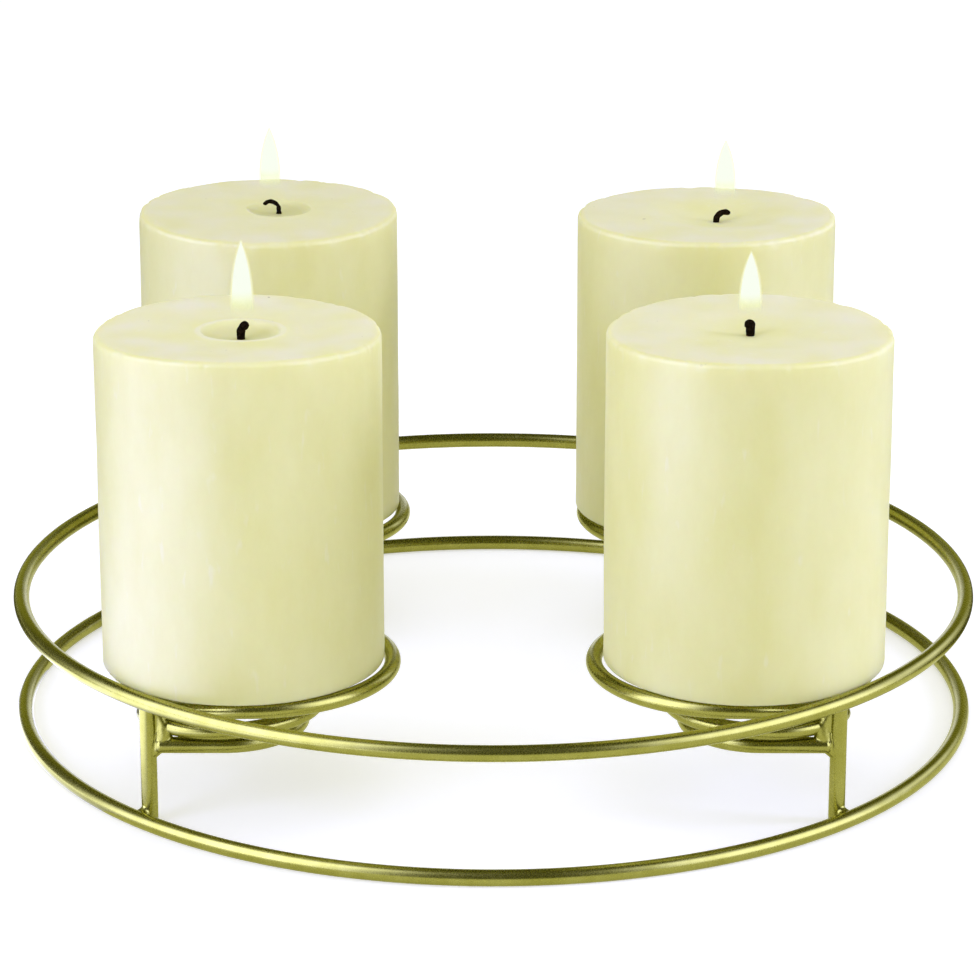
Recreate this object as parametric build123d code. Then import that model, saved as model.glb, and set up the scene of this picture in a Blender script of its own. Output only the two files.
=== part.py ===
"""Advent candle holder: two wire rings on posts, with a wound seat and a lit pillar candle at each post.

Millimetres, +Z up, standing on z = 0, with the origin on the rings' axis. The front is at -Y.
"""
from build123d import *

import os
from math import copysign, cos, pi, radians, sin, sqrt

# Wire frame
wire_d = 4.0            # every ring, post and seat is bent from this wire
ring_r = 121.0          # centre line radius of both rings
frame_h = 34.8          # from the table to the top of the upper ring
stand_flat = 0.15       # depth of the flat that the lower ring stands on
weld_gap = 0.1          # room between two welded wires, closed by the weld beads
post_foot = 0.9         # how far a post reaches below the middle of the lower ring
post_head = 1.0         # how far a post reaches above the middle of the upper ring

# Candle
candle_d = 68.5
candle_shift = 2.6      # candle's centre, outwards from the rim turn's
candle_gap = 0.3        # room under the candle's foot
candle_edge = 1.0       # rounding of the top edge
candle_foot_edge = 1.2  # rounding of the foot

# Wound seat, one wire each: lead off the post, rim turn, middle turn, low turn and a tail to the post
rim_inset = 0.85        # rim turn's centre line inside the candle's side
rim_gap = 1.6           # clear gap between the rim turn and the upper ring
rim_drop = 0.9          # rim turn below the middle of the upper ring
lead_slant = 15.0       # direction in which the lead leaves the post, in degrees off the ring's own
lead_angle = 30.0       # where the lead joins the rim turn, in degrees from the post
pass_share = 0.8        # first pass of the post below the rim turn, as a share of the wire's thickness
turn_gap = 0.5          # room between wires that pass the post one above the other
middle_r = 20.5
middle_shift = 7.5      # middle turn's centre, outwards from the rim turn's
low_r = 18.0
tail_angle = 45.0       # direction in which the tail runs into the post
bend_span = 16.0        # wire nearer than this along itself is one bend, and no gap is measured in it
gap_step = 1.0          # distance between the points on which that gap is measured

# Wick
wick_d = 1.8
wick_room = 0.1         # room round the wick in its channel
wick_lift = 1.0         # wick's lower end above the candle's foot
wick_bend_r = 2.2

# Flame
flame_d = 5.8
flame_belly = 0.32      # flame's widest place above its base, as a share of its height
flame_gap = 0.3         # room between the wick's top and the flame
flame_tip_d = 0.3

# Weld beads
bead_r = 2.1            # bead between a post and a ring
bead_offset = 1.3       # bead's centre, from the ring's middle towards the post's middle
seat_bead_r = 2.2       # beads between a seat's wire and the post or the ring
lead_bead_drop = 0.3    # bead between the lead and the ring, below the lead's middle

# Each seat: degrees about Z, and the way it is wound downwards seen from above
seats = {
    "front_left": (-135.0, "clockwise"),
    "front_right": (-45.0, "counterclockwise"),
    "back_right": (45.0, "counterclockwise"),
    "back_left": (135.0, "clockwise"),
}

# Each candle: shift along X on its seat, height, width and depth of the melted hollow,
# wick's shift along X from the candle's axis, wick's straight stretch above the candle's top,
# bend of its burnt end in degrees, to +X where positive, and height of the flame
candles = {
    "front_left": (-1.0, 82.0, 21.0, 3.2, 0.8, 0.6, 35.0, 19.9),
    "front_right": (1.2, 82.0, 40.0, 1.0, 0.0, 1.9, -20.0, 16.6),
    "back_right": (-3.2, 80.8, 40.0, 1.8, 2.6, 0.0, 120.0, 16.6),
    "back_left": (0.0, 82.0, 18.6, 1.5, 2.8, 1.1, -150.0, 17.7),
}

# Sizes worked out from those above
wire_r = wire_d/2
low_z = wire_r - stand_flat
top_z = frame_h - wire_r
post_r = ring_r - wire_d - weld_gap
pass_u = post_r - wire_d - weld_gap
candle_r = candle_d/2
rim_r = candle_r - rim_inset
rim_u = ring_r - wire_d - rim_gap - rim_r
rim_z = top_z - rim_drop
turn_step = wire_d + turn_gap
upper_pass_z = rim_z - pass_share*wire_d
middle_u = rim_u + middle_shift
middle_z = upper_pass_z - turn_step
low_turn_z = middle_z - turn_step
low_u = post_r - low_r/cos(radians(tail_angle))
candle_u = rim_u + candle_shift
foot_z = rim_z + wire_r + candle_gap


def on_turn(u, r, z, degrees):
    # Point and direction on a level turn about (u, 0), wound towards falling angles.
    a = radians(degrees)
    return Vector(u + r*cos(a), r*sin(a), z), Vector(sin(a), -cos(a), 0)


def biarc(start, start_way, end, end_way):
    # Two arcs that leave start along start_way, meet smoothly and reach end along end_way.
    span = end - start
    ways = start_way + end_way
    spread = 2*(1 - start_way.dot(end_way))
    along = span.dot(ways)
    reach = (sqrt(along**2 + spread*span.dot(span)) - along)/spread
    middle = (start + start_way*reach + end - end_way*reach)*0.5
    first = Edge.make_tangent_arc(start, start_way, middle)
    return [first, Edge.make_tangent_arc(middle, first % 1, end)]


def seat_path():
    # Centre line of one seat's wire, for a post on the +X axis.
    slant = radians(lead_slant)
    lead_way = Vector(-sin(slant), -cos(slant), 0)
    lead_start = Vector(post_r, 0, rim_z) + lead_way*(wire_r + weld_gap)
    lead_end = lead_start + lead_way*wire_d
    down = Vector(0, -1, 0)
    # Keys a quarter turn apart or less, with one at the post each time that the wire passes it.
    keys = [(lead_end, lead_way)]
    keys += [on_turn(rim_u, rim_r, rim_z, a) for a in (-lead_angle, -135, -225, -315)]
    keys += [(Vector(pass_u, 0, upper_pass_z), down)]
    keys += [on_turn(middle_u, middle_r, middle_z, a) for a in (-90, -180, -270)]
    keys += [(Vector(pass_u, 0, middle_z), down)]
    keys += [on_turn(low_u, low_r, low_turn_z, a) for a in (-90, -180, -270, tail_angle - 360)]
    edges = [Edge.make_line(lead_start, lead_end)]
    for (start, start_way), (end, end_way) in zip(keys, keys[1:]):
        edges += biarc(start, start_way, end, end_way)
    # The tail runs straight from the low turn towards the post's axis.
    tail_start, tail_way = keys[-1]
    tail_end = Vector(post_r, 0, low_turn_z) - tail_way*(wire_r + weld_gap)
    return edges + [Edge.make_line(tail_start, tail_end)]


def least_gap(edges):
    # Least clear distance between the wire and any other stretch of itself, on points.
    points = []
    travelled = 0.0
    for edge in edges:
        count = max(2, round(edge.length/gap_step))
        points += [(travelled + edge.length*i/count, edge @ (i/count)) for i in range(count)]
        travelled += edge.length
    pairs = ((p, q) for i, (s, p) in enumerate(points) for t, q in points[:i] if s - t > bend_span)
    return min((p - q).length for p, q in pairs) - wire_d


def wire_along(edges, d):
    path = Wire(edges)
    return sweep(Plane(path @ 0, z_dir=path % 0)*Circle(d/2), path=path).solid()


def ring(z):
    return Pos(0, 0, z)*Solid.make_torus(ring_r, wire_r)


def standing_ring():
    # The lower ring, with the flat that it stands on.
    width = 2*ring_r + 2*wire_d
    below = Box(width, width, wire_d, align=(Align.CENTER, Align.CENTER, Align.MAX))
    return (ring(low_z) - below).solid()


def post():
    bottom = low_z - post_foot
    height = top_z + post_head - bottom
    return Pos(post_r, 0, bottom)*Solid.make_cylinder(wire_r, height)


def ball(radius, x, y, z):
    # Sphere with its poles to the sides, away from the faces that the beads are cut with.
    return Pos(x, y, z)*Rot(0, 90, 0)*Solid.make_sphere(radius, angle1=-90)


def largest(shape):
    return max(shape.solids(), key=lambda s: s.volume)


def ring_bead(z, ring_wire, seat_wire):
    # Weld between a post and a ring, filling the corner between the wires.
    return largest(ball(bead_r, ring_r - wire_r - weld_gap/2, 0, z) - ring_wire - post() - seat_wire)


def lead_bead(lead, ring_wire, seat_wire):
    # Weld between the seat's lead and the upper ring beside it, half way between their middles.
    at = lead @ 1
    share = (1 + ring_r/sqrt(at.X**2 + at.Y**2))/2
    return largest(ball(seat_bead_r, at.X*share, at.Y*share, at.Z - lead_bead_drop) - ring_wire - seat_wire)


def post_bead(tail, seat_wire):
    # Weld that ties the tail and the turns passing the post to it.
    x = (tail @ 1).X
    column = Pos(x, 0, low_turn_z)*Solid.make_cylinder(seat_bead_r, upper_pass_z - low_turn_z)
    ends = ball(seat_bead_r, x, 0, upper_pass_z) + ball(seat_bead_r, x, 0, low_turn_z)
    return largest(column + ends - post() - seat_wire)


def candle(height, melt_d, melt_depth, wick_x):
    # Pillar with rounded edges, a melted hollow and a channel for the wick, about its own axis.
    body = Solid.make_cylinder(candle_r, height)
    rims = body.edges().filter_by(GeomType.CIRCLE).sort_by(Axis.Z)
    body = body.fillet(candle_foot_edge, [rims[0]])
    body = body.fillet(candle_edge, [body.edges().filter_by(GeomType.CIRCLE).sort_by(Axis.Z)[-1]])
    melt_r = melt_d/2
    bowl_r = (melt_r**2 + melt_depth**2)/(2*melt_depth)
    bowl = Pos(wick_x, 0, height - melt_depth + bowl_r)*Solid.make_sphere(bowl_r, angle1=-90)
    channel = Pos(wick_x, 0, 0)*Solid.make_cylinder(wick_d/2 + wick_room, height)
    return Pos(0, 0, foot_z)*(body - bowl - channel).solid()


def wick(x, turn_z, bend):
    # Cord up the candle's channel, with its burnt end bent to one side.
    foot = Vector(x, 0, foot_z + wick_lift)
    turn = Vector(x, 0, turn_z)
    a = radians(abs(bend))
    tip = turn + Vector(copysign(wick_bend_r, bend)*(1 - cos(a)), 0, wick_bend_r*sin(a))
    burnt_end = Edge.make_tangent_arc(turn, Vector(0, 0, 1), tip)
    return wire_along([Edge.make_line(foot, turn), burnt_end], wick_d)


def flame(x, base_z, bend, height):
    # Drop that rises from just above the highest place of the wick.
    lean = copysign(wick_bend_r, bend)*(1 - cos(min(radians(abs(bend)), pi/2)))
    belly_z = flame_belly*height
    base, belly, tip = (0, 0), (flame_d/2, belly_z), (flame_tip_d/2, height)
    lower = Spline(base, belly, tangents=[(1, 0), (0, 1)])
    upper = Spline(belly, tip, tangents=[(0, 1), (-flame_d/2, height - belly_z)])
    outline = make_face([*lower.edges(), *upper.edges(), *Polyline(tip, (0, height), base).edges()])
    return Pos(x + lean, 0, base_z)*revolve(Plane.XZ*outline, Axis.Z).solid()


def save(name, shape):
    export_step(shape, f"parts/{name}.step")


def main():
    os.makedirs("parts", exist_ok=True)
    lower, upper = ring(low_z), ring(top_z)
    edges = seat_path()
    seat_wire = wire_along(edges, wire_d)
    length = sum(edge.length for edge in edges)
    tightest = min(edge.radius for edge in edges if edge.geom_type == GeomType.CIRCLE)
    print(f"seat wire: {length:.1f} mm long, tightest bend {tightest:.2f} mm")
    print(f"seat wire: least gap to itself {least_gap(edges):.2f} mm")
    print(f"seat wire volume over section times length: {seat_wire.volume/(pi*wire_r**2*length):.4f}")
    save("lower_ring", standing_ring())
    save("upper_ring", upper)
    beads = {
        "post_foot_welds": ring_bead(low_z + bead_offset, lower, seat_wire),
        "post_head_welds": ring_bead(top_z - bead_offset, upper, seat_wire),
        "seat_ring_welds": lead_bead(edges[0], upper, seat_wire),
        "seat_post_welds": post_bead(edges[-1], seat_wire),
    }
    # What is wound one way for the seats on the left is mirrored for those on the right.
    mirrored = {name: mirror(bead, Plane.XZ) for name, bead in beads.items()}
    wound = {"clockwise": (seat_wire, beads), "counterclockwise": (mirror(seat_wire, Plane.XZ), mirrored)}
    for name in beads:
        save(name, Compound([Rot(0, 0, turn)*wound[way][1][name] for turn, way in seats.values()]))
    for place, (turn, way) in seats.items():
        at_seat = Rot(0, 0, turn)
        save(f"post_{place}", at_seat*post())
        save(f"seat_{place}", at_seat*wound[way][0])
        shift, height, melt_d, melt_depth, wick_x, wick_rise, bend, flame_h = candles[place]
        at_candle = Pos(candle_u*cos(radians(turn)) + shift, candle_u*sin(radians(turn)), 0)
        cord = wick(wick_x, foot_z + height + wick_rise, bend)
        drop = flame(wick_x, cord.bounding_box().max.Z + flame_gap, bend, flame_h)
        save(f"candle_{place}", at_candle*candle(height, melt_d, melt_depth, wick_x))
        save(f"wick_{place}", at_candle*cord)
        save(f"flame_{place}", at_candle*drop)


main()
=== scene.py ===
"""Looks of the advent candle holder: satin gold wire, mottled ivory wax, charred wicks and small flames.

Metres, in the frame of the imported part: +Z up, standing on z = 0, front at -Y.
"""
import math
import random

import bmesh
import bpy
import numpy as np
from mathutils import Matrix, Vector, noise


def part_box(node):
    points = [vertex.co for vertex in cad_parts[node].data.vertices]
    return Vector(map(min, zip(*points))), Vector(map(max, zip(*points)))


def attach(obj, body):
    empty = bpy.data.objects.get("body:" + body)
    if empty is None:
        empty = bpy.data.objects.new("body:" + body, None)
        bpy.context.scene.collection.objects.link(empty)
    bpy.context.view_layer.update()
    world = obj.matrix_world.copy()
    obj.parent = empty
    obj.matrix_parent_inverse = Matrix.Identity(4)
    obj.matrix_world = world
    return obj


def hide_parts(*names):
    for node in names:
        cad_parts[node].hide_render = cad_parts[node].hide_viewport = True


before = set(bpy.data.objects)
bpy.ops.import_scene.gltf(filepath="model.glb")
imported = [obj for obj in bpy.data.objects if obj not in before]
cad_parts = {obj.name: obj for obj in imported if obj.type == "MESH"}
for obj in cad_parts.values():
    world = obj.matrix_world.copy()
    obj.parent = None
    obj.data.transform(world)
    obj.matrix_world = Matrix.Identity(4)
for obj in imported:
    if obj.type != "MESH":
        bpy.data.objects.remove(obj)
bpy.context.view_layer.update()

MM = 0.001
scene = bpy.context.scene

# Sizes read from the frame
upper_low, upper_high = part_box("upper_ring")
WIRE_R = (upper_high.z - upper_low.z)/2
RING_R = upper_high.x - WIRE_R
TOP_Z = upper_high.z - WIRE_R
LOW_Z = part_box("lower_ring")[1].z - WIRE_R
candle_low, candle_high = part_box("candle_front_left")
CANDLE_R = (candle_high.x - candle_low.x)/2

# Wound seat, with the same sizes as its solid
WELD_GAP = 0.1*MM
RIM_INSET = 0.85*MM
RIM_GAP = 1.6*MM
RIM_DROP = 0.9*MM
LEAD_SLANT = 15.0
LEAD_ANGLE = 30.0
PASS_SHARE = 0.8
TURN_GAP = 0.5*MM
MIDDLE_R = 20.5*MM
MIDDLE_SHIFT = 7.5*MM
LOW_R = 18.0*MM
TAIL_ANGLE = 45.0

RIM_R = CANDLE_R - RIM_INSET
WIRE_D = 2*WIRE_R
POST_R = RING_R - WIRE_D - WELD_GAP
PASS_U = POST_R - WIRE_D - WELD_GAP
RIM_U = RING_R - WIRE_D - RIM_GAP - RIM_R
RIM_Z = TOP_Z - RIM_DROP
TURN_STEP = WIRE_D + TURN_GAP
UPPER_PASS_Z = RIM_Z - PASS_SHARE*WIRE_D
MIDDLE_U = RIM_U + MIDDLE_SHIFT
MIDDLE_Z = UPPER_PASS_Z - TURN_STEP
LOW_TURN_Z = MIDDLE_Z - TURN_STEP
LOW_U = POST_R - LOW_R/math.cos(math.radians(TAIL_ANGLE))

# Each seat's place in degrees about Z, and the way it is wound
SEATS = {"front_left": (-135, 1), "front_right": (-45, -1), "back_right": (45, -1), "back_left": (135, 1)}

# Mesh fineness
TUBE_SIDES = 28
TUBE_STEP = 1.0*MM
RING_STEPS = 480
CANDLE_SIDES = 360
# A direction that no tube starts along
ASIDE = (0.3, 0.2, 0.9)


# Mesh helpers

def new_piece(name, mesh, look, body, slot, *nodes):
    # Links a mesh as a piece that rides on a body and stands for the named nodes.
    for polygon in mesh.polygons:
        polygon.use_smooth = True
    mesh.materials.append(look)
    piece = bpy.data.objects.new(name, mesh)
    scene.collection.objects.link(piece)
    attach(piece, body)
    if nodes:
        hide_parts(*nodes)
    return piece


def grid_mesh(name, rows, closed, caps):
    # Skin over rows of points, each closed round. closed joins the last row to the first.
    count = len(rows[0])
    points = [p for row in rows for p in row]
    faces = []
    for i in range(len(rows) if closed else len(rows) - 1):
        a, b = i*count, (i + 1) % len(rows)*count
        for k in range(count):
            m = (k + 1) % count
            faces.append((a + k, a + m, b + m, b + k))
    if caps:
        faces.append(tuple(range(count))[::-1])
        faces.append(tuple(range(len(points) - count, len(points))))
    mesh = bpy.data.meshes.new(name)
    mesh.from_pydata([tuple(p) for p in points], [], faces)
    mesh.update()
    return mesh


def tube_rows(points, radius, sides=TUBE_SIDES):
    # Circles along a path, carried along it without twist. radius is one number or one for each point.
    points = np.array(points, float)
    ways = np.gradient(points, axis=0)
    ways /= np.linalg.norm(ways, axis=1)[:, None]
    radii = np.broadcast_to(radius, len(points))
    side = np.cross(ways[0], ASIDE)
    turn = np.linspace(0, 2*np.pi, sides, endpoint=False)
    rows = []
    for point, way, r in zip(points, ways, radii):
        side = side - way*(side @ way)
        side /= np.linalg.norm(side)
        up = np.cross(way, side)
        rows.append(point + r*(np.outer(np.cos(turn), side) + np.outer(np.sin(turn), up)))
    return rows


def turned(points, degrees, hand=1):
    # Points about the +X axis brought to a place on the ring, mirrored first where hand is -1.
    a = math.radians(degrees)
    spin = np.array([[math.cos(a), -math.sin(a), 0], [math.sin(a), math.cos(a), 0], [0, 0, 1]])
    return np.array(points, float)*(1, hand, 1) @ spin.T


# Wire shapes

def arc_points(start, way, end):
    # Points along the arc that leaves start along way and reaches end, without the start, and its last way.
    span = end - start
    across = span - way*(span @ way)
    if np.linalg.norm(across) < 1e-9:
        return [end], way
    side = across/np.linalg.norm(across)
    radius = (span @ span)/(2*(span @ side))
    angle = 2*math.atan2(span @ side, span @ way)
    count = max(3, round(radius*angle/TUBE_STEP))
    points = []
    for t in np.linspace(0, angle, count + 1)[1:]:
        points.append(start + radius*(way*math.sin(t) + side*(1 - math.cos(t))))
    return points, way*math.cos(angle) + side*math.sin(angle)


def biarc_points(start, start_way, end, end_way):
    # Points along two arcs that run into each other, from start to end, without the start.
    span, ways = end - start, start_way + end_way
    bend = 2*(1 - start_way @ end_way)
    along = span @ ways
    reach = (math.sqrt(along**2 + bend*(span @ span)) - along)/bend
    middle = (start + start_way*reach + end - end_way*reach)/2
    first, way = arc_points(start, start_way, middle)
    return first + arc_points(middle, way, end)[0]


def on_turn(u, r, z, degrees):
    # Point and way on a turn of the seat, which runs clockwise seen from above.
    a = math.radians(degrees)
    return np.array([u + r*math.cos(a), r*math.sin(a), z]), np.array([math.sin(a), -math.cos(a), 0.0])


def line_points(start, end):
    count = max(2, round(np.linalg.norm(end - start)/TUBE_STEP))
    return [start + (end - start)*i/count for i in range(count + 1)]


def seat_points():
    # Centre line of one seat's wire, for a post on the +X axis: lead, rim, middle turn, low turn and tail.
    slant = math.radians(LEAD_SLANT)
    lead_way = np.array([-math.sin(slant), -math.cos(slant), 0.0])
    lead_start = np.array([POST_R, 0, RIM_Z]) + lead_way*(WIRE_R + WELD_GAP)
    lead_end = lead_start + lead_way*WIRE_D
    past_post = np.array([0.0, -1.0, 0.0])
    keys = [(lead_end, lead_way)]
    keys += [on_turn(RIM_U, RIM_R, RIM_Z, a) for a in (-LEAD_ANGLE, -135, -225, -315)]
    keys += [(np.array([PASS_U, 0, UPPER_PASS_Z]), past_post)]
    keys += [on_turn(MIDDLE_U, MIDDLE_R, MIDDLE_Z, a) for a in (-90, -180, -270)]
    keys += [(np.array([PASS_U, 0, MIDDLE_Z]), past_post)]
    keys += [on_turn(LOW_U, LOW_R, LOW_TURN_Z, a) for a in (-90, -180, -270, TAIL_ANGLE - 360)]
    points = line_points(lead_start, lead_end)
    for (a, a_way), (b, b_way) in zip(keys, keys[1:]):
        points += biarc_points(a, a_way, b, b_way)
    start, way = keys[-1]
    tail_end = np.array([POST_R, 0, LOW_TURN_Z]) - way*(WIRE_R + WELD_GAP)
    return points + line_points(start, tail_end)[1:]


def ring_rows(z):
    # Sections round a ring, flat where it stands on the table.
    turn = np.linspace(0, 2*np.pi, TUBE_SIDES, endpoint=False)
    section = np.stack([RING_R + WIRE_R*np.cos(turn), np.zeros(TUBE_SIDES), z + WIRE_R*np.sin(turn)], axis=1)
    section[:, 2] = np.maximum(section[:, 2], 0)
    return [turned(section, 360*i/RING_STEPS) for i in range(RING_STEPS)]


# Materials

def material(name):
    made = bpy.data.materials.new(name)
    made.use_nodes = True
    nodes = made.node_tree.nodes
    return made, nodes, made.node_tree.links, nodes["Principled BSDF"]


def noise_texture(nodes, links, where, scale, detail=4.0, rough=0.55):
    made = nodes.new("ShaderNodeTexNoise")
    made.inputs["Scale"].default_value = scale
    made.inputs["Detail"].default_value = detail
    made.inputs["Roughness"].default_value = rough
    links.new(where, made.inputs["Vector"])
    return made.outputs["Fac"]


def attribute(nodes, name):
    made = nodes.new("ShaderNodeAttribute")
    made.attribute_name = name
    return made.outputs["Fac"]


def ramp(nodes, links, value, low, high, first, last):
    # Colour that goes from first to last while value goes from low to high.
    made = nodes.new("ShaderNodeValToRGB")
    made.color_ramp.elements[0].position = low
    made.color_ramp.elements[1].position = high
    made.color_ramp.elements[0].color = (*first, 1)
    made.color_ramp.elements[1].color = (*last, 1)
    links.new(value, made.inputs["Fac"])
    return made.outputs["Color"]


def spread(nodes, links, value, low, high, first, last):
    # Number that goes from first to last while value goes from low to high.
    made = nodes.new("ShaderNodeMapRange")
    for socket, number in zip(made.inputs[1:5], (low, high, first, last)):
        socket.default_value = number
    links.new(value, made.inputs["Value"])
    return made.outputs["Result"]


def blended(nodes, links, share, first, last):
    # Mix of two colours, each a tuple or a socket.
    made = nodes.new("ShaderNodeMix")
    made.data_type = "RGBA"
    links.new(share, made.inputs["Factor"])
    for value, socket in ((first, made.inputs["A"]), (last, made.inputs["B"])):
        if isinstance(value, tuple):
            socket.default_value = (*value, 1)
        else:
            links.new(value, socket)
    return made.outputs["Result"]


def bump(nodes, links, height, strength, distance, before=None):
    made = nodes.new("ShaderNodeBump")
    made.inputs["Strength"].default_value = strength
    made.inputs["Distance"].default_value = distance
    links.new(height, made.inputs["Height"])
    if before:
        links.new(before, made.inputs["Normal"])
    return made.outputs["Normal"]


def stretched(nodes, links, where, scale):
    made = nodes.new("ShaderNodeMapping")
    made.inputs["Scale"].default_value = scale
    links.new(where, made.inputs["Vector"])
    return made.outputs["Vector"]


# Gold wire: colour range, tint of grazing reflections, roughness range, noise scales and depth of its grain
GOLD_DARK, GOLD_LIGHT = (0.28, 0.268, 0.040), (0.335, 0.322, 0.063)
GOLD_GRAZING = (1.0, 1.0, 0.68, 1)
GOLD_ROUGH = (0.23, 0.31)
GOLD_GRAIN, GOLD_CLOUD = 2600, 160
GRAIN_DEPTH = 0.02*MM


def gold_wire():
    made, nodes, links, shader = material("gold_wire")
    where = nodes.new("ShaderNodeTexCoord").outputs["Object"]
    grain = noise_texture(nodes, links, where, GOLD_GRAIN, 3)
    cloud = noise_texture(nodes, links, where, GOLD_CLOUD, 4)
    links.new(ramp(nodes, links, cloud, 0.3, 0.7, GOLD_DARK, GOLD_LIGHT), shader.inputs["Base Color"])
    links.new(spread(nodes, links, grain, 0.3, 0.7, *GOLD_ROUGH), shader.inputs["Roughness"])
    links.new(bump(nodes, links, grain, 0.03, GRAIN_DEPTH), shader.inputs["Normal"])
    shader.inputs["Metallic"].default_value = 1.0
    shader.inputs["Specular Tint"].default_value = GOLD_GRAZING
    return made


# Wax: colours of the body, flecks, bloom (also used for a painted highlight under the top edge), wet pool
# and soot
WAX_DEEP, WAX_PALE = (0.83, 0.81, 0.335), (0.88, 0.865, 0.43)
WAX_FLECK = (0.91, 0.89, 0.66)
WAX_BLOOM_AND_HIGHLIGHT = (0.885, 0.86, 0.62)
WAX_WET = (0.85, 0.83, 0.44)
WAX_SOOT = (0.40, 0.36, 0.20)
# Noise scales, with the height scale of those that are drawn out upwards
MOTTLE, MOTTLE_TALL = 75, 0.45
FLECK, FLECK_TALL = 420, 0.3
STREAK, STREAK_TALL = 260, 0.12
SOOT, FINE = 500, 900
STREAK_DEPTH, FINE_DEPTH = 0.3*MM, 0.1*MM
WAX_ROUGH, POOL_ROUGH = (0.40, 0.56), 0.22
WAX_GLOSS = 0.40
# Light under the skin: share, reach of each colour and depth
SCATTER, SCATTER_REACH, SCATTER_DEPTH = 0.6, (1.0, 0.85, 0.36), 5*MM


def ivory_wax(name, shade, gloss):
    # shade darkens the wax of one candle against the others, as painted shade on the back candles, and gloss
    # is its specular level.
    def with_painted_shade(colour):
        return tuple(shade*c for c in colour)

    made, nodes, links, shader = material(name)
    where = nodes.new("ShaderNodeTexCoord").outputs["Object"]
    bloom_and_highlight, wet = attribute(nodes, "bloom_and_highlight"), attribute(nodes, "wet")
    mottle = noise_texture(nodes, links, stretched(nodes, links, where, (1, 1, MOTTLE_TALL)), MOTTLE, 6, 0.6)
    body = ramp(nodes, links, mottle, 0.32, 0.70, with_painted_shade(WAX_DEEP), with_painted_shade(WAX_PALE))
    fleck = noise_texture(nodes, links, stretched(nodes, links, where, (1, 1, FLECK_TALL)), FLECK, 2, 0.5)
    flecks = spread(nodes, links, fleck, 0.66, 0.76, 0.0, 0.35)
    for share, colour in ((flecks, WAX_FLECK), (bloom_and_highlight, WAX_BLOOM_AND_HIGHLIGHT), (wet, WAX_WET)):
        body = blended(nodes, links, share, body, with_painted_shade(colour))
    # Specks of soot show on the bloom and painted highlight only.
    soot = nodes.new("ShaderNodeMath")
    soot.operation = "MULTIPLY"
    specks = noise_texture(nodes, links, where, SOOT, 1, 0.4)
    links.new(spread(nodes, links, specks, 0.80, 0.83, 0.0, 1.0), soot.inputs[0])
    links.new(bloom_and_highlight, soot.inputs[1])
    body = blended(nodes, links, soot.outputs["Value"], body, with_painted_shade(WAX_SOOT))
    links.new(body, shader.inputs["Base Color"])
    fine = noise_texture(nodes, links, where, FINE, 5)
    rough = nodes.new("ShaderNodeMix")
    links.new(wet, rough.inputs["Factor"])
    links.new(spread(nodes, links, fine, 0.3, 0.7, *WAX_ROUGH), rough.inputs["A"])
    rough.inputs["B"].default_value = POOL_ROUGH
    links.new(rough.outputs["Result"], shader.inputs["Roughness"])
    streak = noise_texture(nodes, links, stretched(nodes, links, where, (1, 1, STREAK_TALL)), STREAK, 3)
    relief = bump(nodes, links, streak, 0.12, STREAK_DEPTH)
    links.new(bump(nodes, links, fine, 0.15, FINE_DEPTH, relief), shader.inputs["Normal"])
    shader.inputs["Subsurface Weight"].default_value = SCATTER
    shader.inputs["Subsurface Radius"].default_value = SCATTER_REACH
    shader.inputs["Subsurface Scale"].default_value = SCATTER_DEPTH
    shader.inputs["Specular IOR Level"].default_value = gloss
    return made


CHAR_DARK, CHAR_LIGHT = (0.005, 0.0035, 0.002), (0.04, 0.026, 0.015)
CHAR_GRAIN, CHAR_DEPTH = 1800, 0.3*MM


def charred_wick():
    made, nodes, links, shader = material("charred_wick")
    where = nodes.new("ShaderNodeTexCoord").outputs["Object"]
    char = noise_texture(nodes, links, where, CHAR_GRAIN, 5, 0.7)
    links.new(ramp(nodes, links, char, 0.45, 0.8, CHAR_DARK, CHAR_LIGHT), shader.inputs["Base Color"])
    links.new(bump(nodes, links, char, 0.8, CHAR_DEPTH), shader.inputs["Normal"])
    shader.inputs["Roughness"].default_value = 0.9
    shader.inputs["Specular IOR Level"].default_value = 0.0
    return made


# Flame: colour at its base, then colour and cover of the outer shell and of the core
FLAME_FOOT = (0.92, 1.0, 0.55)
FLAME_OUTER = (1.0, 1.0, 0.64), 0.40
FLAME_INNER = (0.92, 1.0, 1.04), 0.95


def flame_glow(name, colour, cover):
    # Light that fades out towards the base. glow is 0 at the base and 1 from a third of the height up.
    made, nodes, links, shader = material(name)
    glow = attribute(nodes, "glow")
    shader.inputs["Base Color"].default_value = (0, 0, 0, 1)
    shader.inputs["Specular IOR Level"].default_value = 0.0
    links.new(ramp(nodes, links, glow, 0.3, 1.0, FLAME_FOOT, colour), shader.inputs["Emission Color"])
    shader.inputs["Emission Strength"].default_value = 1.0
    links.new(spread(nodes, links, glow, 0.0, 1.0, 0.0, cover), shader.inputs["Alpha"])
    return made


GOLD = gold_wire()
# Darker copies of the wax for the two back candles: painted shade.
WAX_PAINTED_SHADE = {"front_left": 1.0, "front_right": 1.0, "back_right": 0.96, "back_left": 0.93}
WAX = {place: ivory_wax(f"ivory_wax_{place}", shade, WAX_GLOSS) for place, shade in WAX_PAINTED_SHADE.items()}
DRY_WAX = {place: ivory_wax(f"dry_wax_{place}", shade, 0.0) for place, shade in WAX_PAINTED_SHADE.items()}
CHAR = charred_wick()
FLAME = flame_glow("flame", *FLAME_OUTER)
FLAME_CORE = flame_glow("flame_core", *FLAME_INNER)


# Wire frame

def add_rings():
    for name, z in (("upper_ring", TOP_Z), ("lower_ring", LOW_Z)):
        mesh = grid_mesh(name, ring_rows(z), True, False)
        new_piece(f"{name}_wire", mesh, GOLD, "wire_frame", "gold_wire", name)


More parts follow.
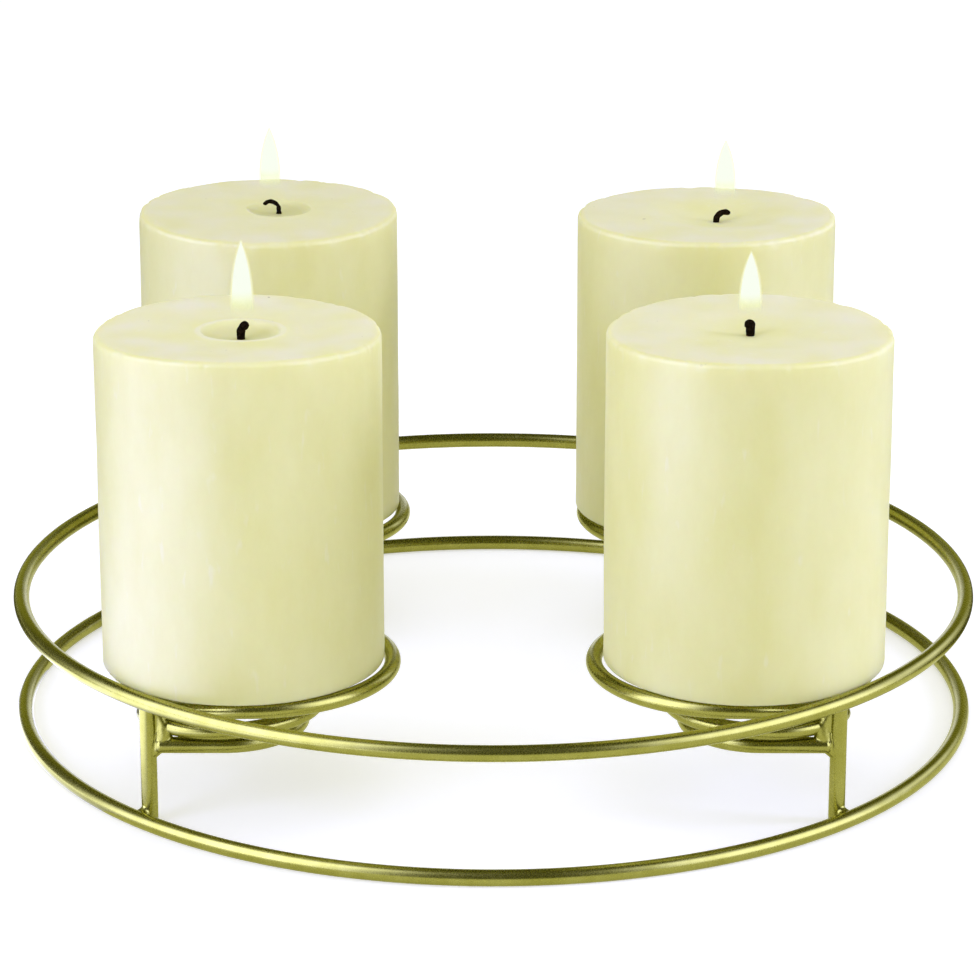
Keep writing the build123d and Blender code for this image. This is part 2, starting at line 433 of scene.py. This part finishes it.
def add_posts_and_seats():
    path = seat_points()
    for place, (degrees, hand) in SEATS.items():
        low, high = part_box(f"post_{place}")
        upright = line_points(np.array([POST_R, 0, low.z]), np.array([POST_R, 0, high.z]))
        mesh = grid_mesh(f"post_{place}", tube_rows(turned(upright, degrees), WIRE_R), False, True)
        new_piece(f"post_{place}_wire", mesh, GOLD, "wire_frame", "gold_wire", f"post_{place}")
        mesh = grid_mesh(f"seat_{place}", tube_rows(turned(path, degrees, hand), WIRE_R), False, True)
        new_piece(f"seat_{place}_wire", mesh, GOLD, "wire_frame", "gold_wire", f"seat_{place}")


WELD_VOXEL = 0.3*MM
WELD_SINK = 0.06*MM
WELD_SMOOTHING = 14
WELD_SIDES = 16
# How far a weld takes in the wires at a ring, and the seat's turns at a post
WELD_REACH = 5*MM
TURN_REACH = 1.6*WELD_REACH
WELD_STEPS = 12
# Beads between post and ring and between lead and ring: distance under or over the ring's middle, and radius
POST_BEAD = (0.9*MM, 1.5*MM)
LEAD_BEAD = (0.3*MM, 2.1*MM)
# Points of the seat's wire that are welded to the ring, and the first one of its turns
LEAD_POINTS = slice(3, 12)
FIRST_TURN = 20


def weld(name, rods, balls):
    # Melted metal round short stretches of wire: rods and balls fused, then smoothed into fillets.
    shape = bmesh.new()
    for points in rods:
        part = grid_mesh("rod", tube_rows(points, WIRE_R - WELD_SINK, WELD_SIDES), False, True)
        shape.from_mesh(part)
        bpy.data.meshes.remove(part)
    for centre, radius in balls:
        place = Matrix.Translation(Vector(centre))
        bmesh.ops.create_icosphere(shape, subdivisions=3, radius=radius, matrix=place)
    mesh = bpy.data.meshes.new(name)
    shape.to_mesh(mesh)
    shape.free()
    rough = bpy.data.objects.new(name, mesh)
    scene.collection.objects.link(rough)
    remesh = rough.modifiers.new("fuse", "REMESH")
    remesh.mode = "VOXEL"
    remesh.voxel_size = WELD_VOXEL
    smooth = rough.modifiers.new("flow", "SMOOTH")
    smooth.factor = 0.5
    smooth.iterations = WELD_SMOOTHING
    done = bpy.data.meshes.new_from_object(rough.evaluated_get(bpy.context.evaluated_depsgraph_get()))
    bpy.data.objects.remove(rough)
    return done


def stretch_near(path, place, reach):
    # The unbroken runs of a path that lie within reach of a place.
    runs = []
    run = []
    for point in path:
        if np.linalg.norm(point - place) < reach:
            run.append(point)
        elif run:
            runs.append(run)
            run = []
    return [r for r in runs + [run] if len(r) > 3]


def ring_near(z, degrees):
    half = math.degrees(WELD_REACH/RING_R)
    return [turned([RING_R, 0, z], a) for a in np.linspace(degrees - half, degrees + half, WELD_STEPS)]


# Run of melted metal between seat and post, upwards: inwards and along from the post's axis,
# height over the low turn, and radius, in mm
POST_RUN = np.array([
    (-0.9, 1.5, -1.8, 1.2), (-2.2, 2.0, 0.3, 1.8), (-3.0, 2.3, 2.6, 2.0),
    (-3.2, 2.0, 5.0, 1.9), (-2.2, 0.9, 8.0, 1.5),
])
RUN_STEPS = 40


def add_welds():
    path = seat_points()
    lead_end = path[round(WIRE_D/TUBE_STEP)]
    contact = RING_R - WIRE_R
    beside_ring = lead_end*(1 + RING_R/math.hypot(lead_end[0], lead_end[1]))/2
    lead_turn = math.degrees(math.atan2(lead_end[1], lead_end[0]))
    low, high = (corner.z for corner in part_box("post_front_left"))
    lower_half = line_points(np.array([POST_R, 0, low]), np.array([POST_R, 0, low + 2*WELD_REACH]))
    upper_half = line_points(np.array([POST_R, 0, high - 2*WELD_REACH]), np.array([POST_R, 0, high]))
    beside = line_points(np.array([POST_R, 0, LOW_TURN_Z - WELD_REACH]), np.array([POST_R, 0, UPPER_PASS_Z]))
    turns = stretch_near(path[FIRST_TURN:], np.array([POST_R - WIRE_R, 0, MIDDLE_Z]), TURN_REACH)
    knots, steps = np.arange(len(POST_RUN)), np.linspace(0, len(POST_RUN) - 1, RUN_STEPS)
    run = np.stack([np.interp(steps, knots, column) for column in POST_RUN.T], axis=1)*MM
    lumps = [((POST_R + u, t, LOW_TURN_Z + z), r) for u, t, z, r in run]
    post_off, post_r = POST_BEAD
    lead_off, lead_r = LEAD_BEAD
    joints = {
        "post_foot_welds": (
            [ring_near(LOW_Z, 0), lower_half],
            [((contact, 0, LOW_Z + post_off), post_r)],
        ),
        "post_head_welds": (
            [ring_near(TOP_Z, 0), upper_half],
            [((contact, 0, TOP_Z - post_off), post_r)],
        ),
        "seat_ring_welds": (
            [ring_near(TOP_Z, lead_turn), path[LEAD_POINTS]],
            [((beside_ring[0], beside_ring[1], RIM_Z - lead_off), lead_r)],
        ),
        "seat_post_welds": ([beside] + turns, lumps),
    }
    for node, (rods, balls) in joints.items():
        bead = weld(node, rods, balls)
        fused = bmesh.new()
        for degrees, hand in SEATS.values():
            copy = bead.copy()
            copy.transform(Matrix.Rotation(math.radians(degrees), 4, "Z") @ Matrix.Diagonal((1, hand, 1, 1)))
            if hand < 0:
                copy.flip_normals()
            fused.from_mesh(copy)
            bpy.data.meshes.remove(copy)
        mesh = bpy.data.meshes.new(node)
        fused.to_mesh(mesh)
        fused.free()
        new_piece(f"{node}_metal", mesh, GOLD, "wire_frame", "gold_wire", node)


# Candles

# Rounding of the top and foot edges, height of the finer rows below the top edge, how far a candle sinks
# on its seat, and the largest radius of a pool
EDGE = 1.4*MM
FOOT_EDGE = 0.5*MM
SHOULDER = 6*MM
SETTLE = 0.25*MM
POOL_R = 10*MM
# Chips out of the top edge: how many, least and most half width and depth in mm, and the first candle's seed
CHIPS = 46
CHIP_WIDTH, CHIP_DEPTH = (0.5, 1.8), (0.05, 0.35)
CHIP_SEED = 40
# Uneven wax: height of the waves and of the lumps on the top, and scales of waves, bloom and lumps
WAVE, LUMP = 0.14*MM, 0.16*MM
WAVE_SCALE, BLOOM_SCALE, LUMP_SCALE = 45, 110, 150
# Chipped band at the top edge: where it begins and is full, in from the side, and how far it reaches down
CHIPPED_IN, CHIPPED_DOWN = (3.5*MM, 0.8*MM), 3*MM
# Lip of the melted hollow: its place as a share of the hollow's radius, and its half width
LIP_PLACE, LIP_WIDTH = 1.06, 1.3*MM
# How steeply the rim rises towards the front and the back
RIM_CURVE = 1.5
# How far apart the noise of two candles lies
CANDLE_SHIFT = (3.7, 1.9, 5.3)
# Melted hollow round each wick: shift along X, radius, depth, height of its lip,
# how steep its wall is, how softly it runs out, and how wet it is
MELTS = {
    "front_left": (0.8*MM, 9.6*MM, 1.9*MM, 0.28*MM, 4, 1, 0.4),
    "front_right": (0.0, 20*MM, 1.0*MM, 0.0, 2, 2, 0.0),
    "back_right": (2.6*MM, 20*MM, 2.4*MM, 0.0, 2, 2, 0.0),
    "back_left": (2.8*MM, 8.6*MM, 1.3*MM, 0.08*MM, 5, 1, 0.7),
}
# Height that the burnt-down rim of each candle stands over its middle, at the front and at the back
RIMS = {
    "front_left": (2.1*MM, 0.0),
    "front_right": (1.6*MM, 0.3*MM),
    "back_right": (0.6*MM, -1.1*MM),
    "back_left": (-0.8*MM, 0.0),
}


def candle_profile(radius, height, melt_r, melt_depth, steep, soft):
    # Radius and height of each row of the skin, from the foot's middle over the side to the top's middle.
    brink, bottom, tip = 1.25*melt_r, 0.75*melt_r, 0.02*radius
    rows = [(radius*s, 0) for s in (0.02, 0.3, 0.6, 0.85)]
    for a in np.linspace(0, math.pi/2, 5):
        rows.append((radius - FOOT_EDGE + FOOT_EDGE*math.sin(a), FOOT_EDGE - FOOT_EDGE*math.cos(a)))
    rows += [(radius, z) for z in np.linspace(FOOT_EDGE, height - SHOULDER, 46)[1:-1]]
    rows += [(radius, z) for z in np.linspace(height - SHOULDER, height - EDGE, 9)[:-1]]
    for a in np.linspace(0, math.pi/2, 9):
        rows.append((radius - EDGE + EDGE*math.cos(a), height - EDGE + EDGE*math.sin(a)))
    rows += [(r, height) for r in np.linspace(radius - EDGE, brink, 20)[1:]]
    for r in (*np.linspace(brink, bottom, 16)[1:], *np.linspace(bottom, tip, 8)[1:]):
        rows.append((r, height - melt_depth*max(0, 1 - (r/melt_r)**steep)**soft))
    return rows


def smoothstep(low, high, value):
    t = min(1.0, max(0.0, (value - low)/(high - low)))
    return t*t*(3 - 2*t)


def edge_nicks(angles, radius, seed):
    # Depth of the deepest chip out of the top edge at each angle about the candle.
    draw = random.Random(seed)
    chips = [(draw.uniform(0, 2*math.pi), draw.uniform(*CHIP_WIDTH)*MM, draw.uniform(*CHIP_DEPTH)*MM)
             for _ in range(CHIPS)]
    nicks = []
    for angle in angles:
        depth = 0.0
        for where, width, deep in chips:
            off = (angle - where + math.pi) % (2*math.pi) - math.pi
            depth = max(depth, deep*math.exp(-(off*radius/width)**2))
        nicks.append(depth)
    return nicks


def add_candles():
    angles = [2*math.pi*k/CANDLE_SIDES for k in range(CANDLE_SIDES)]
    for number, place in enumerate(SEATS):
        low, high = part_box(f"candle_{place}")
        foot = low.z - SETTLE
        radius, height = (high.x - low.x)/2, high.z - foot
        middle = ((low.x + high.x)/2, (low.y + high.y)/2)
        melt_x, melt_r, melt_depth, lip_height, steep, soft, wetness = MELTS[place]
        front_rise, back_rise = RIMS[place]
        pool_r = min(melt_r, POOL_R)
        nicks = edge_nicks(angles, radius, CHIP_SEED + number)
        shift = Vector([number*step for step in CANDLE_SHIFT])
        rows, blooms_and_highlights, wets, looks = [], [], [], []
        for r, z in candle_profile(radius, height, melt_r, melt_depth, steep, soft):
            row = []
            near_rim = smoothstep(radius - CHIPPED_IN[0], radius - CHIPPED_IN[1], r)
            edge = near_rim*smoothstep(height - CHIPPED_DOWN, height - EDGE/2, z)
            on_top = smoothstep(height - EDGE, height - 0.2*EDGE, z) if r > melt_r else float(z > height/2)
            beyond = smoothstep(pool_r*0.98, pool_r*1.2, r)
            brim = smoothstep(radius - EDGE - 0.6*MM, radius - 0.4*EDGE, r)
            slide = melt_x*(1 - smoothstep(1.25*melt_r, radius - EDGE, r))*(z > height/2)
            lip = lip_height*math.exp(-((r - LIP_PLACE*melt_r)/LIP_WIDTH)**2)*on_top
            for a, nick in zip(angles, nicks):
                spot = Vector((r*math.cos(a), r*math.sin(a), z))
                broad = noise.noise(spot*WAVE_SCALE + shift)
                cloud = 0.5 + 0.5*noise.noise(spot*BLOOM_SCALE + shift)
                wave = WAVE*broad*smoothstep(0, 4*MM, z)*smoothstep(0, 0.5*radius, r)
                lumps = LUMP*noise.noise(spot*LUMP_SCALE + shift)*on_top*beyond
                pull = 1 - (nick*edge + wave)/max(r, 1*MM)
                to_front = max(0, -spot.y/radius)**RIM_CURVE
                to_back = max(0, spot.y/radius)**RIM_CURVE
                rim = (front_rise*to_front + back_rise*to_back)*z/height
                row.append((middle[0] + slide + spot.x*pull, middle[1] + spot.y*pull,
                            foot + z + rim - 0.5*nick*edge + lumps + lip*(0.5 + cloud)))
                # Pale bloom: a broken band on the top near the edge, and the lip. The thin pale band below
                # the edge is a painted highlight along the top edge.
                ring = smoothstep(-0.2*radius, 0.85*radius, r)*on_top*(0.15 + cloud)*(1 - 0.8*brim)
                # Painted highlight: a thin pale band just below the top edge.
                below = (1 - on_top)*smoothstep(height - (0.6 + 1.4*cloud)*MM, height - 0.5*MM, z)
                patch = on_top*beyond*smoothstep(0.62, 0.85, cloud)*0.6
                crust = on_top*smoothstep(0.25, 1.0, lip/max(lip_height, 0.2*MM))*0.9
                blooms_and_highlights.append(min(1.0, max(ring, 0.2*below, patch, crust) + 0.5*nick/MM*edge))
                wets.append(wetness*on_top*(1 - beyond))
            rows.append(row)
            looks += [int(on_top > 0.9 and (r > pool_r or not wetness))]*CANDLE_SIDES
        mesh = grid_mesh(f"candle_{place}", rows, False, True)
        for name, values in (("bloom_and_highlight", blooms_and_highlights), ("wet", wets)):
            mesh.attributes.new(name, "FLOAT", "POINT").data.foreach_set("value", values)
        new_piece(f"candle_{place}_wax", mesh, WAX[place], f"candle_{place}", "ivory_wax", f"candle_{place}")
        # The top is dry and matt apart from a wet pool. The two caps come after the rows of faces.
        mesh.materials.append(DRY_WAX[place])
        mesh.polygons.foreach_set("material_index", looks[:-CANDLE_SIDES] + [0, 0])


# Wicks and flames

WICK_R = 0.9*MM
WICK_BEND_R = 2.2*MM
WICK_SIDES = 24
WICK_SEED = 3
# How far above and below the wax the char begins, and size and scale of the lumps and of the fuzz
CHAR_FADE = 1*MM
WICK_LUMP, WICK_LUMP_SCALE = 0.2, 900
FUZZ, FUZZ_SCALE = 0.12*MM, 1100
# Places of the rows that close the end round, as shares of its radius
END_SHARES = (0.3, 0.6, 0.8, 0.92, 0.98)
# Straight stretch above the candle's top, bend of the burnt end in degrees, the side it bends to,
# how thick it has swollen, and the size of its knob
WICKS = {
    "front_left": (-0.4*MM, 55, 1, 1.08, 0.15),
    "front_right": (0.9*MM, 20, -1, 1.20, 0.10),
    "back_right": (-1.9*MM, 110, 1, 0.88, 0.0),
    "back_left": (-0.2*MM, 130, -1, 0.62, 0.0),
}


def add_wicks():
    # Vector noise depends on Blender's seed, which is the time unless it is set.
    noise.seed_set(WICK_SEED)
    for number, (place, (rise, bend, side, swell, knob)) in enumerate(WICKS.items()):
        low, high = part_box(f"candle_{place}")
        melt_x, _, melt_depth, *_ = MELTS[place]
        x, y = (low.x + high.x)/2 + melt_x, (low.y + high.y)/2
        melt_z = high.z - melt_depth
        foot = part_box(f"wick_{place}")[0].z
        turn = np.array([x, y, high.z + rise])
        points = [np.array([x, y, z]) for z in np.linspace(foot, melt_z - CHAR_FADE, 10)[:-1]]
        points += [np.array([x, y, z]) for z in np.linspace(melt_z - CHAR_FADE, turn[2], 26)]
        for a in np.linspace(0, math.radians(bend), 20)[1:]:
            points.append(turn + WICK_BEND_R*np.array([side*(1 - math.cos(a)), 0, math.sin(a)]))
        shift = Vector((7.1*number, 2.3, 4.9))
        radii = []
        for i, p in enumerate(points):
            burnt = smoothstep(melt_z - CHAR_FADE, melt_z + CHAR_FADE, p[2])
            lump = noise.noise(Vector(p)*WICK_LUMP_SCALE + shift)
            end = smoothstep(len(points) - 12, len(points) - 4, i)
            radii.append(WICK_R*(1 + burnt*(swell - 1 + WICK_LUMP*lump) + knob*end))
        end_point, end_r = points[-1], radii[-1]
        way = end_point - points[-2]
        way /= np.linalg.norm(way)
        for share in END_SHARES:
            points.append(end_point + way*end_r*share)
            radii.append(end_r*math.sqrt(1 - share**2))
        rows = tube_rows(points, np.array(radii), WICK_SIDES)
        for row in rows:
            for spot in row:
                spot += FUZZ*np.array(noise.noise_vector(Vector(spot)*FUZZ_SCALE + shift))
        mesh = grid_mesh(f"wick_{place}", rows, False, True)
        new_piece(f"wick_{place}_cord", mesh, CHAR, f"candle_{place}", "charred_wick", f"wick_{place}")


FLAME_SIDES, FLAME_ROWS = 40, 48
# Shells of a flame: name, look, share of the flame's radius, shares of its height that are left free
# below and above, and how full its sides are
FLAME_SHELLS = (
    ("outer", FLAME, 1.0, 0.0, 0.0, 2.9),
    ("core", FLAME_CORE, 0.84, 0.08, 0.03, 2.6),
)


def flame_rows(x, y, base, top, radius, full):
    # Bullet shape: widest just over its open base and drawn out to a point.
    rows, glows = [], []
    turn = np.linspace(0, 2*np.pi, FLAME_SIDES, endpoint=False)
    for s in np.linspace(0.0, 0.995, FLAME_ROWS):
        width = (0.80 + 0.20*smoothstep(0, 0.08, s))*(1 - s**full)
        z = base + (top - base)*s
        rows.append([(x + radius*width*math.cos(a), y + radius*width*math.sin(a), z) for a in turn])
        glows += [smoothstep(0.03, 0.36, s)]*len(turn)
    return rows, glows


def add_flames():
    for place in SEATS:
        low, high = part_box(f"flame_{place}")
        x, y = (low.x + high.x)/2, (low.y + high.y)/2
        radius, height = (high.x - low.x)/2, high.z - low.z
        for part, look, share, below, above, full in FLAME_SHELLS:
            base, top = low.z + below*height, high.z - above*height
            rows, glows = flame_rows(x, y, base, top, radius*share, full)
            nodes = (f"flame_{place}",) if part == "outer" else ()
            mesh = grid_mesh(f"flame_{place}_{part}", rows, False, False)
            mesh.attributes.new("glow", "FLOAT", "POINT").data.foreach_set("value", glows)
            piece = new_piece(f"flame_{place}_{part}", mesh, look, f"candle_{place}", "flame", *nodes)
            piece.visible_shadow = False


# Stage

def plane(name, corners, look):
    mesh = bpy.data.meshes.new(name)
    mesh.from_pydata(corners, [], [(0, 1, 2, 3)])
    mesh.materials.append(look)
    made = bpy.data.objects.new(name, mesh)
    scene.collection.objects.link(made)


def seen_rays(nodes, links):
    # 1 for rays that come straight from the camera, off a mirror or through glass.
    path = nodes.new("ShaderNodeLightPath")
    total = path.outputs["Is Camera Ray"]
    for name in ("Is Glossy Ray", "Is Transmission Ray"):
        add = nodes.new("ShaderNodeMath")
        add.operation = "MAXIMUM"
        links.new(total, add.inputs[0])
        links.new(path.outputs[name], add.inputs[1])
        total = add.outputs["Value"]
    return total


FLOOR_HALF = 6.0
FLOOR_COLOUR = (0.77, 0.78, 0.86, 1)
FLOOR_LIFT = 0.46
WORLD_LIGHT = 0.66
WARM_ROOM = (1.0, 0.985, 0.80)
COOL_LAMP = (0.88, 0.90, 1.55)


def add_floor():
    made, nodes, links, shader = material("floor")
    shader.inputs["Base Color"].default_value = FLOOR_COLOUR
    shader.inputs["Roughness"].default_value = 0.9
    shader.inputs["Specular IOR Level"].default_value = 0.0
    shader.inputs["Emission Color"].default_value = (1, 1, 1, 1)
    lift = spread(nodes, links, seen_rays(nodes, links), 0, 1, 0, FLOOR_LIFT)
    links.new(lift, shader.inputs["Emission Strength"])
    corners = ((-1, -1), (1, -1), (1, 1), (-1, 1))
    plane("floor", [(FLOOR_HALF*x, FLOOR_HALF*y, 0) for x, y in corners], made)


def add_world():
    # White to look at, and a warm even light for the surfaces.
    world = bpy.data.worlds.new("studio")
    scene.world = world
    world.use_nodes = True
    nodes, links = world.node_tree.nodes, world.node_tree.links
    shade = nodes["Background"]
    seen = seen_rays(nodes, links)
    links.new(blended(nodes, links, seen, WARM_ROOM, (1.0, 1.0, 1.0)), shade.inputs["Color"])
    links.new(spread(nodes, links, seen, 0, 1, WORLD_LIGHT, 1.0), shade.inputs["Strength"])


DOME_R = 4.0
DOME_FOOT = 0.12
DOME_DARK = 0.12
DOME_SIDES, DOME_ROWS = 144, 36
# Colour of the gloss where it is dark and where it is bright
GLOSS_DARK, GLOSS_BRIGHT = (1.0, 1.0, 0.18), (0.95, 0.97, 2.2)
# Bright fields on the dome: middle and half width in degrees from the front, to the right where positive,
# lower and upper edge in degrees above the floor, and brightness
FIELDS = (
    (-68, 35, -30, 66, 4.4),
    (-112, 40, 56, 72, 1.0),
    (72, 32, -30, 50, 3.8),
    (122, 18, 6, 32, 2.4),
    (180, 36, -30, 26, 0.45),
)
FIELD_BLUR = 15
# Cards that the gloss shows: name, lowest and highest corner, squares across and along, blur of the edges,
# brightness in the middle and at the edges, and the place along Y of a card that stands up
CARDS = (
    ("reflector", (-0.80, -0.42), (-0.095, 0.02), (36, 22), 0.04, 3.5, 1.0, None),
    ("dark_left", (-0.90, 0.0), (-0.125, 1.60), (40, 60), 0.03, 0.08, 0.5, None),
    ("dark_right", (0.125, 0.0), (0.90, 1.60), (40, 60), 0.03, 0.08, 0.5, None),
    ("back_stand", (-0.16, -0.04), (0.16, 0.21), (32, 24), 0.04, 1.7, 0.45, 0.65),
)
CARD_LIFT = 0.2*MM


def field_at(azimuth, rise):
    # Brightness of a place on the dome.
    shine = DOME_DARK
    for middle, half, bottom, top, level in FIELDS:
        off = abs((azimuth - middle + 180) % 360 - 180)
        across = 1 - smoothstep(half - FIELD_BLUR, half + FIELD_BLUR, off)
        over = smoothstep(bottom - FIELD_BLUR, bottom + FIELD_BLUR, rise)
        under = 1 - smoothstep(top - FIELD_BLUR, top + FIELD_BLUR, rise)
        shine = max(shine, level*across*over*under)
    return shine


def gloss_look():
    # Light for the gloss of the surfaces: olive where it is dark, cool where it is bright.
    made, nodes, links, shader = material("studio_gloss")
    shader.inputs["Base Color"].default_value = (0, 0, 0, 1)
    shader.inputs["Specular IOR Level"].default_value = 0.0
    shine = attribute(nodes, "shine")
    links.new(ramp(nodes, links, shine, 0.4, 1.0, GLOSS_DARK, GLOSS_BRIGHT), shader.inputs["Emission Color"])
    links.new(shine, shader.inputs["Emission Strength"])
    return made


def gloss_only(name, mesh, shines, look):
    # Stage piece that only the gloss of the surfaces shows.
    mesh.attributes.new("shine", "FLOAT", "POINT").data.foreach_set("value", shines)
    mesh.materials.append(look)
    made = bpy.data.objects.new(name, mesh)
    scene.collection.objects.link(made)
    made.visible_camera = False
    made.visible_diffuse = False
    made.visible_transmission = False
    made.visible_shadow = False


def add_card(look, name, low, high, counts, blur, shine, rim, stand):
    # Card that lies on the floor, or stands at stand along Y. Its edges fade to the brightness rim.
    points, faces, shines = [], [], []
    across, along = counts
    for i in range(across + 1):
        for k in range(along + 1):
            x = low[0] + (high[0] - low[0])*i/across
            v = low[1] + (high[1] - low[1])*k/along
            inside = min(x - low[0], high[0] - x, v - low[1], high[1] - v)
            points.append((x, v, CARD_LIFT) if stand is None else (x, stand, v))
            shines.append(rim + (shine - rim)*smoothstep(0, blur, inside))
            if i < across and k < along:
                a = i*(along + 1) + k
                faces.append((a, a + along + 1, a + along + 2, a + 1))
    mesh = bpy.data.meshes.new(name)
    mesh.from_pydata(points, [], faces)
    gloss_only(name, mesh, shines, look)


def add_gloss():
    look = gloss_look()
    turn = np.linspace(0, 2*np.pi, DOME_SIDES, endpoint=False)
    rows, shines = [], []
    for a in np.linspace(0, 0.49*np.pi, DOME_ROWS):
        r, z = DOME_R*math.cos(a), DOME_FOOT + DOME_R*math.sin(a)
        rows.append([(r*math.cos(t), r*math.sin(t), z) for t in turn])
        shines += [field_at(math.degrees(t) + 90, math.degrees(a)) for t in turn]
    gloss_only("dark_dome", grid_mesh("dark_dome", rows, False, False), shines, look)
    for card in CARDS:
        add_card(look, *card)


# Lamps: name, place, width, height and power, and the point that they all look at
LAMPS = (
    ("key", (-0.90, -0.78, 0.50), 0.6, 0.8, 5.5),
    ("side", (1.15, -0.15, 0.38), 0.35, 0.6, 5.5),
    ("top", (0, 0.10, 1.30), 0.8, 0.8, 1.3),
)
LAMP_AIM = (0, 0, 0.07)


def add_lamps():
    # The gloss shows the bright fields of the dome in place of the lamps.
    for name, place, width, height, power in LAMPS:
        light = bpy.data.lights.new(name, "AREA")
        light.shape = "RECTANGLE"
        light.size, light.size_y = width, height
        light.energy = power
        light.color = COOL_LAMP
        lamp = bpy.data.objects.new(name, light)
        lamp.location = place
        lamp.rotation_euler = (Vector(LAMP_AIM) - Vector(place)).to_track_quat("-Z", "Y").to_euler()
        scene.collection.objects.link(lamp)
        lamp.visible_glossy = False


# Camera, fitted to both rings in the photograph
SENSOR_MM = 36
FOCAL_PIXELS = 4060
FRAME_PIXELS = 980
CAMERA_BACK = 0.9888
CAMERA_UP = 0.3769
PITCH_DOWN = 18.02
YAW = 0.05


def add_camera():
    data = bpy.data.cameras.new("camera")
    data.sensor_width = SENSOR_MM
    data.lens = data.sensor_width*FOCAL_PIXELS/FRAME_PIXELS
    camera = bpy.data.objects.new("camera", data)
    camera.location = (0, -CAMERA_BACK, CAMERA_UP + LOW_Z)
    camera.rotation_euler = (math.radians(90 - PITCH_DOWN), 0, math.radians(YAW))
    scene.collection.objects.link(camera)
    scene.camera = camera


add_rings()
add_posts_and_seats()
add_welds()
add_candles()
add_wicks()
add_flames()
add_floor()
add_world()
add_gloss()
add_lamps()
add_camera()
scene.view_settings.view_transform = "Standard"
